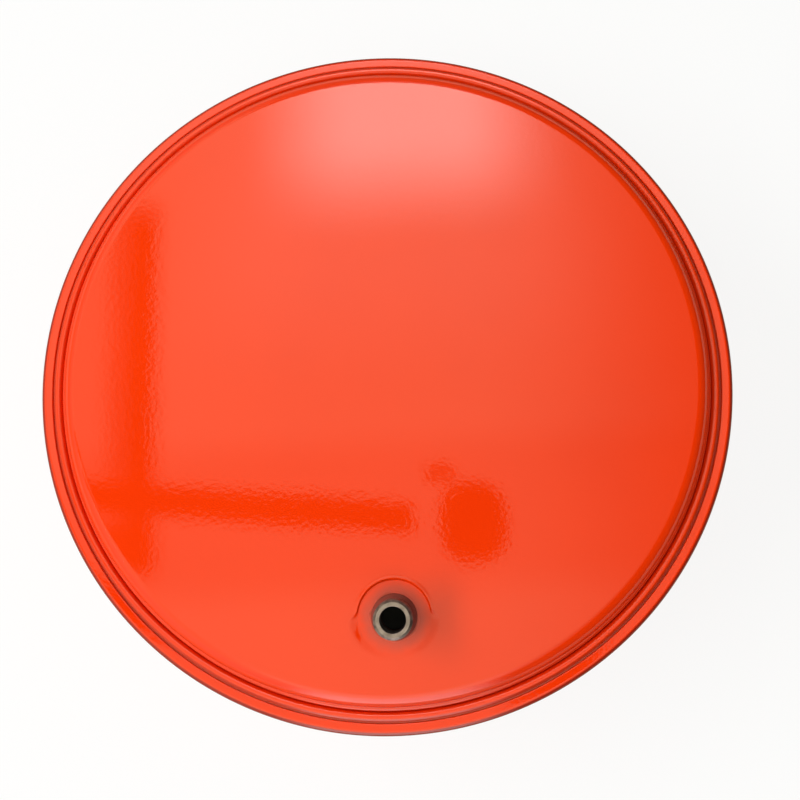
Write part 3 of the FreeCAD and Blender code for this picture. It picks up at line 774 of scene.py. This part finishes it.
def make_world():
    """White to look at, and soft daylight on the object that is stronger from above."""
    world = bpy.data.worlds.new("studio")
    bpy.context.scene.world = world
    world.use_nodes = True
    nodes = Nodes(world.node_tree)
    aim = nodes.add("ShaderNodeTexCoord").outputs["Generated"]
    height = nodes.add("ShaderNodeSeparateXYZ", {0: aim}).outputs["Z"]
    rise = nodes.math("MAXIMUM", height, 0.0)
    daylight = nodes.math("MULTIPLY_ADD", rise, 0.5, 0.05)
    light = nodes.add("ShaderNodeBackground", {"Color": (1, 1, 1, 1), "Strength": daylight})
    white = nodes.add("ShaderNodeBackground", {"Color": (1, 1, 1, 1), "Strength": 1.0})
    inputs = {0: is_seen(nodes), 1: light.outputs[0], 2: white.outputs[0]}
    both = nodes.add("ShaderNodeMixShader", inputs)
    nodes.add("ShaderNodeOutputWorld", {"Surface": both.outputs[0]})


def plane(name, centre, width, depth, turn=(0, 0, 0)):
    """A flat rectangle for the stage, level unless it is turned."""
    mesh = bpy.data.meshes.new(name)
    w, d = width / 2, depth / 2
    mesh.from_pydata([(-w, -d, 0), (w, -d, 0), (w, d, 0), (-w, d, 0)], [], [(0, 1, 2, 3)])
    piece = bpy.data.objects.new(name, mesh)
    piece.location = centre
    piece.rotation_euler = turn
    bpy.context.scene.collection.objects.link(piece)
    return piece


def stage_material(piece):
    """Give a piece of the stage a material of its own name, and return its empty node tree."""
    material = bpy.data.materials.new(piece.name)
    material.use_nodes = True
    piece.data.materials.append(material)
    return Nodes(material.node_tree)


def make_floor():
    """Near-white floor that keeps a soft shadow."""
    floor = plane("floor", (0, 0, -0.0002), 12, 12)
    nodes = stage_material(floor)
    paint = nodes.add("ShaderNodeBsdfDiffuse", {"Color": (0.9, 0.9, 0.89, 1)})
    white = nodes.add("ShaderNodeEmission", {"Color": (1, 1, 0.99, 1), "Strength": 1.0})
    share = nodes.math("MULTIPLY", is_seen(nodes), 0.86)
    both = nodes.add("ShaderNodeMixShader", {0: share, 1: paint.outputs[0], 2: white.outputs[0]})
    nodes.add("ShaderNodeOutputMaterial", {"Surface": both.outputs[0]})


# The room that mirrors in the enamel, in metres.
WARM_WHITE = (1.5, 1.5, 1.0, 1)
LEVEL = (0, 0, 0)
FACING_Y = (math.pi / 2, 0, 0)
FACING_X = (math.pi / 2, 0, math.pi / 2)
ROOM = 1.5
CEILING = 1.2
OVAL_POWER = 2.6
OVAL_EDGE = (0.55, 1.5)


def off_centre(nodes, coordinate, low, high):
    """Distance of a coordinate from the middle of a span."""
    return nodes.math("ABSOLUTE", nodes.math("SUBTRACT", coordinate, (low + high) / 2))


def make_panel(name, centre, width, depth, turn, base, patches):
    """A panel that only mirrors in the enamel, at a base level with soft-edged patches.

    A patch is (left, right, low, high, soft, slant, strength). A strength above 0 adds light, and
    one below 0 takes that share away. A soft of 0 stands for an oval patch with a soft edge.
    """
    panel = plane(name, centre, width, depth, turn)
    nodes = stage_material(panel)
    split = nodes.add("ShaderNodeSeparateXYZ", {0: nodes.place()})
    across = nodes.math("ADD", split.outputs["X"], centre[0] if turn == LEVEL else 0.0)
    along = nodes.math("ADD", split.outputs["Y"], centre[1] if turn == LEVEL else centre[2])
    level, added = nodes.math("ADD", 0.0, base), nodes.math("ADD", 0.0, 0.0)
    for left, right, low, high, soft, slant, strength in patches:
        half_x, half_y = (right - left) / 2, (high - low) / 2
        off_x = off_centre(nodes, across, left, right)
        leaning = nodes.math("MULTIPLY_ADD", nodes.math("SUBTRACT", across, right), slant, along)
        off_y = off_centre(nodes, leaning, low, high)
        if soft:
            over_x = nodes.ramp(off_x, half_x - soft, half_x + soft)
            over_y = nodes.ramp(off_y, half_y - soft, half_y + soft)
            mask = nodes.math("MULTIPLY", nodes.less(over_x), nodes.less(over_y))
        else:
            over_x = nodes.math("POWER", nodes.math("DIVIDE", off_x, half_x), OVAL_POWER)
            over_y = nodes.math("POWER", nodes.math("DIVIDE", off_y, half_y), OVAL_POWER)
            mask = nodes.less(nodes.ramp(nodes.math("ADD", over_x, over_y), *OVAL_EDGE))
        if strength > 0:
            added = nodes.math("MULTIPLY_ADD", mask, strength, added)
        else:
            kept = nodes.math("MULTIPLY_ADD", mask, strength, 1.0)
            level, added = nodes.math("MULTIPLY", level, kept), nodes.math("MULTIPLY", added, kept)
    wall = nodes.add("ShaderNodeEmission", {"Color": WARM_WHITE, "Strength": level})
    glow = nodes.add("ShaderNodeEmission", {"Color": (1, 1, 1, 1), "Strength": added})
    both = nodes.add("ShaderNodeAddShader", {0: wall.outputs[0], 1: glow.outputs[0]})
    nodes.add("ShaderNodeOutputMaterial", {"Surface": both.outputs[0]})
    panel.visible_camera = panel.visible_diffuse = panel.visible_shadow = False


def make_room():
    """What mirrors in the enamel: a ceiling with the bars of a frame and a lens, and walls."""
    side = 2 * ROOM
    middle = CEILING / 2
    make_panel("ceiling", (0, 0, CEILING), side, side, LEVEL, 1.0, [
        (-0.40, 0.45, 0.33, 1.30, 0.18, 0, 0.45),
        (-0.20, 0.28, 0.64, 1.50, 0.14, 0, 4.2),
        (-0.45, 2.00, 0.93, 2.00, 0.03, 0, -0.87),
        (-0.60, 0.60, -2.0, -0.80, 0.40, 0, 1.0),
        (-1.00, 1.00, -0.20, 0.09, 0.05, 0, -0.28),
        (0.42, 2.50, -2.0, 2.00, 0.30, 0, -0.8),
        (0.72, 2.50, -2.0, 2.00, 0.08, 0, -1.0),
        (-2.00, -0.56, -2.0, 2.00, 0.05, 0, -0.22),
        (-0.605, -0.505, -0.15, 0.64, 0.035, 0, -0.8),
        (-0.558, -0.519, -0.14, 0.60, 0.009, 0, -1.0),
        (-2.00, -0.53, -0.135, -0.05, 0.02, 0, -0.9),
        (-2.00, 0.012, -0.095, -0.033, 0.014, 0.118, -1.0),
        (0.062, 0.192, -0.152, 0.003, 0, 0, -1.0),
        (0.036, 0.096, 0.002, 0.042, 0, 0, -0.8),
    ])
    make_panel("wall_right", (ROOM, 0, middle), side, CEILING, FACING_X, 0.02, [])
    make_panel("wall_back", (0, ROOM, middle), side, CEILING, FACING_Y, 0.17, [
        (0.2, 3.0, -2.0, 2.0, 1.2, 0, -0.88),
        (-3.0, -0.2, -2.0, 2.0, 1.2, 0, 0.08),
        (-3.0, -0.6, 0.6, 2.0, 0.3, 0, 0.35),
    ])
    make_panel("wall_left", (-ROOM, 0, middle), side, CEILING, FACING_X, 0.25, [
        (-2.0, 2.0, 0.6, 2.0, 0.3, 0, 0.35),
        (-3.0, -0.6, -2.0, 2.0, 0.9, 0, 0.3),
    ])
    make_panel("wall_front", (0, -ROOM, middle), side, CEILING, FACING_Y, 0.15, [
        (-0.55, 0.45, -1.0, 2.0, 0.2, 0, 2.9),
        (-2.00, -0.40, -1.0, 2.0, 0.3, 0, 0.4),
        (-3.0, -0.6, 0.6, 2.0, 0.3, 0, 0.35),
        (0.6, 3.0, -2.0, 2.0, 0.8, 0, -0.87),
    ])
    # painted shadow: a dim sheet on the floor, seen only in reflections, that stands for the
    # vessel's shadow there
    make_panel("mirrored_floor_shadow", (0, 0, 0.001), 1.6, 1.6, LEVEL, 0.3, [])


def make_lamp(name, place, width, height, watts):
    """A soft lamp that is aimed at the vessel and doesn't mirror in it."""
    light = bpy.data.lights.new(name, "AREA")
    light.shape = "RECTANGLE"
    light.size = width
    light.size_y = height
    light.energy = watts
    lamp = bpy.data.objects.new(name, light)
    lamp.location = place
    aim = Vector((0, 0, SEAM * MM)) - Vector(place)
    lamp.rotation_euler = aim.to_track_quat("-Z", "Y").to_euler()
    lamp.visible_glossy = False
    bpy.context.scene.collection.objects.link(lamp)


bpy.context.scene.view_settings.view_transform = "Standard"
make_camera()
make_world()
make_floor()
make_room()
make_lamp("side_lamp", (-1.6, 0.0, 1.6), width=2.4, height=0.5, watts=38.0)
make_lamp("front_lamp", (-0.1, -1.0, 1.8), width=1.0, height=0.7, watts=7.5)

make_front_shell(front_enamel_material())
make_clench_ring(folded_edge_material())
make_rear_shell(rear_enamel_material())
make_nipple(nipple_material())
make_stem(metal_material("stem_brass", (0.66, 0.45, 0.17), (0.52, 0.34, 0.12), 0.28))
make_nut(metal_material("zinc_plate", (0.62, 0.62, 0.6), (0.45, 0.45, 0.44), 0.32))
make_cap(moulded_material("black_cap", (0.014, 0.014, 0.015), (0.024, 0.024, 0.025), 0.42))
bright_steel = metal_material("bright_steel", (0.6, 0.6, 0.6), (0.48, 0.48, 0.5), 0.25)
dress_hidden_nodes(bright_steel)
make_spring(bright_steel)
